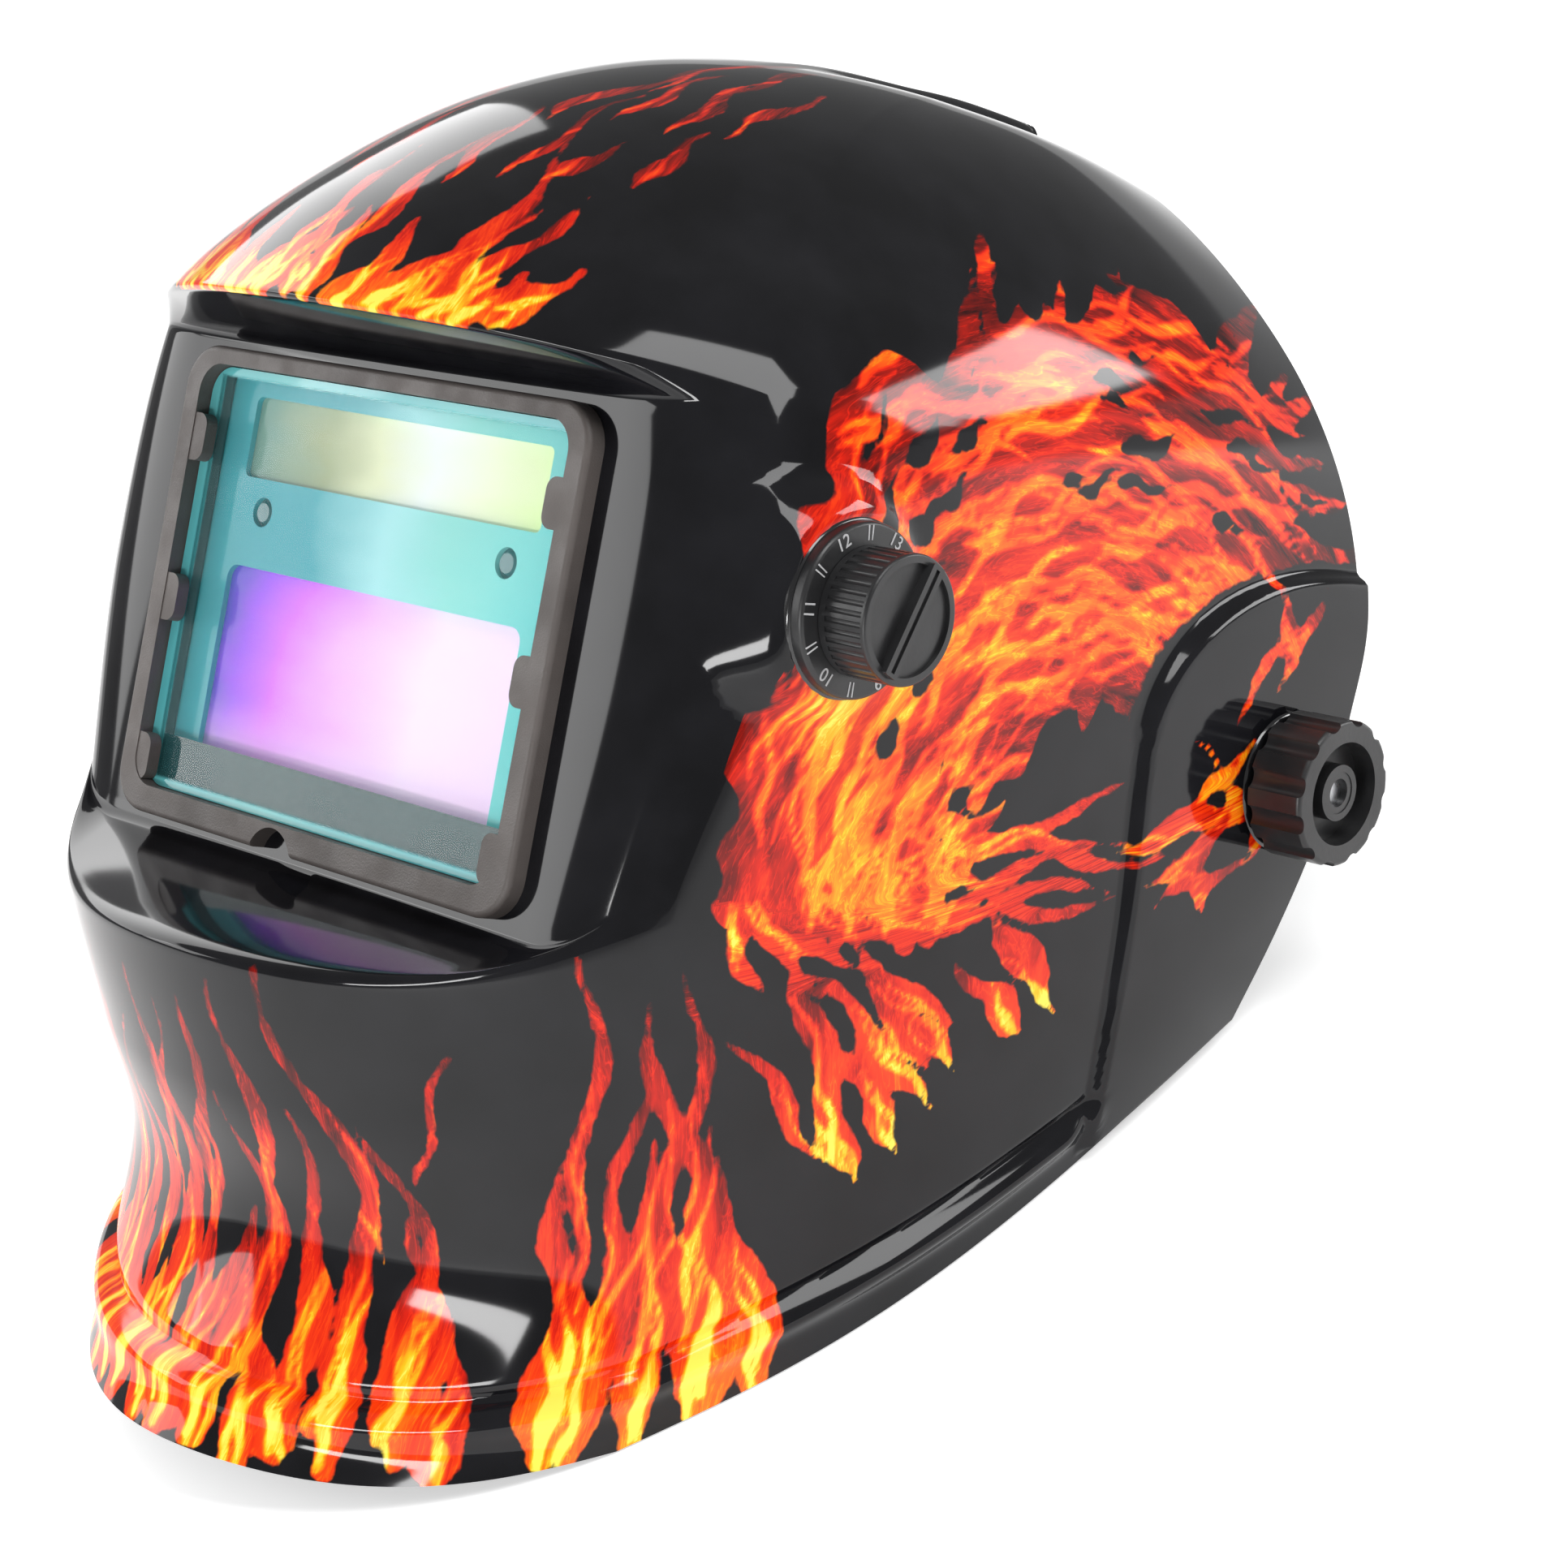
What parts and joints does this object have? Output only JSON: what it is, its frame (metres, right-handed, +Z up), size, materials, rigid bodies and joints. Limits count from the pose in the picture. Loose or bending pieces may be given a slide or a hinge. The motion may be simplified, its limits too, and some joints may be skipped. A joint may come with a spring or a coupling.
{
  "type": "welding helmet",
  "caption": "Auto-darkening welding helmet: glossy shell with a flame pattern, lens cartridge, shade dial and tilting ratchet headgear.",
  "frame": {"origin": "on the floor plane under the middle of the bounding box", "axes": "+Z up with the helmet standing on its lower side edges, -Y out of the window, +X to the wearer's left"},
  "size_m": [0.2568, 0.3472, 0.2208],
  "materials": {
    "shell": "glossy black with printed flame pattern",
    "cover_lens_frame": "satin moulded",
    "cover_lens": "clear polycarbonate",
    "cartridge_housing": "satin",
    "interference_filter": "interference coated",
    "lcd_shutter": "polished",
    "solar_panel": "satin cells",
    "arc_sensors": "polished",
    "circuit_board": "solder mask",
    "battery_cells": "brushed",
    "inner_lens": "clear",
    "cartridge_holder": "moulded",
    "cartridge_retainer": "moulded",
    "retainer_screws": "zinc plated",
    "sensitivity_knob": "moulded",
    "delay_knob": "moulded",
    "shade_dial": "satin with grey numbers",
    "shade_potentiometer": "moulded",
    "shade_shaft": "turned",
    "shade_nut": "plated",
    "shade_knob": "satin",
    "shade_cable": "sleeved",
    "tension_knob_left": "satin",
    "tension_knob_right": "satin",
    "knob_insert_left": "threaded nylon",
    "knob_insert_right": "threaded nylon",
    "pivot_washer_left": "smooth",
    "pivot_washer_right": "smooth",
    "friction_washer_left": "matt",
    "friction_washer_right": "matt",
    "pivot_bolt_left": "moulded nylon",
    "pivot_bolt_right": "moulded nylon",
    "pivot_arm_left": "satin",
    "pivot_arm_right": "satin",
    "headband": "satin",
    "arm_rivets": "moulded",
    "crown_strap": "satin",
    "crown_rivets": "moulded",
    "size_rack_left": "satin",
    "size_rack_right": "satin",
    "ratchet_housing": "satin",
    "ratchet_plate": "satin",
    "ratchet_pinion": "moulded",
    "ratchet_knob": "satin",
    "sweatband": "brushed foam-backed cloth",
    "rear_pad": "brushed foam-backed cloth"
  },
  "bodies": {
    "mask": {"shell": "shell", "cover_lens_frame": "cover_lens_frame", "cover_lens": "cover_lens", "cartridge_housing": "cartridge_housing", "interference_filter": "interference_filter", "lcd_shutter": "lcd_shutter", "solar_panel": "solar_panel", "arc_sensors": "arc_sensors", "circuit_board": "circuit_board", "battery_cells": "battery_cells", "inner_lens": "inner_lens", "cartridge_holder": "cartridge_holder", "cartridge_retainer": "cartridge_retainer", "retainer_screws": "retainer_screws", "shade_dial": "shade_dial", "shade_potentiometer": "shade_potentiometer", "shade_nut": "shade_nut", "shade_cable": "shade_cable", "pivot_washer_left": "pivot_washer_left", "pivot_washer_right": "pivot_washer_right"},
    "headgear": {"friction_washer_left": "friction_washer_left", "friction_washer_right": "friction_washer_right", "pivot_bolt_left": "pivot_bolt_left", "pivot_bolt_right": "pivot_bolt_right", "pivot_arm_left": "pivot_arm_left", "pivot_arm_right": "pivot_arm_right", "headband": "headband", "arm_rivets": "arm_rivets", "crown_strap": "crown_strap", "crown_rivets": "crown_rivets", "ratchet_housing": "ratchet_housing", "ratchet_plate": "ratchet_plate", "sweatband": "sweatband", "rear_pad": "rear_pad"},
    "shade": {"shade_knob": "shade_knob", "shade_shaft": "shade_shaft"},
    "sensitivity": {"sensitivity_knob": "sensitivity_knob"},
    "delay": {"delay_knob": "delay_knob"},
    "tension_left": {"tension_knob_left": "tension_knob_left", "knob_insert_left": "knob_insert_left"},
    "tension_right": {"tension_knob_right": "tension_knob_right", "knob_insert_right": "knob_insert_right"},
    "ratchet": {"ratchet_pinion": "ratchet_pinion", "ratchet_knob": "ratchet_knob"},
    "rack_left": {"size_rack_left": "size_rack_left"},
    "rack_right": {"size_rack_right": "size_rack_right"}
  },
  "joints": [
    {"name": "headgear_tilt", "type": "hinge", "parent": "mask", "child": "headgear", "pos_m": [0, 0.06864, 0.0485], "axis": [1, 0, 0], "range_deg": [-44, 36]},
    {"name": "shade_turn", "type": "hinge", "parent": "mask", "child": "shade", "pos_m": [0.11, -0.03047, 0.14231], "axis": [1, 0, 0], "range_deg": [-130, 130]},
    {"name": "sensitivity_turn", "type": "hinge", "parent": "mask", "child": "sensitivity", "pos_m": [0.018, -0.0385, 0.15526], "axis": [0, 0.8192, -0.5736], "range_deg": [-130, 130]},
    {"name": "delay_turn", "type": "hinge", "parent": "mask", "child": "delay", "pos_m": [0.042, -0.0385, 0.15526], "axis": [0, 0.8192, -0.5736], "range_deg": [-130, 130]},
    {"name": "tension_left_turn", "type": "hinge", "parent": "headgear", "child": "tension_left", "pos_m": [0.12, 0.06864, 0.0485], "axis": [1, 0, 0], "range_deg": [-30, 360]},
    {"name": "tension_right_turn", "type": "hinge", "parent": "headgear", "child": "tension_right", "pos_m": [-0.12, 0.06864, 0.0485], "axis": [-1, 0, 0], "range_deg": [-30, 360]},
    {"name": "ratchet_turn", "type": "hinge", "parent": "headgear", "child": "ratchet", "pos_m": [0, 0.15826, 0.03269], "axis": [0, 0.9848, -0.1736], "range_deg": [-65, 65]},
    {"name": "rack_left_slide", "type": "slide", "parent": "headgear", "child": "rack_left", "axis": [1, 0, 0], "range_m": [-0.006, 0.006]},
    {"name": "rack_right_slide", "type": "slide", "parent": "headgear", "child": "rack_right", "axis": [-1, 0, 0], "range_m": [-0.006, 0.006]}
  ],
  "couplings": [
    {"joint": "rack_left_slide", "follows": "ratchet_turn", "m_per_rad": 0.00525},
    {"joint": "rack_right_slide", "follows": "ratchet_turn", "m_per_rad": 0.00525}
  ]
}
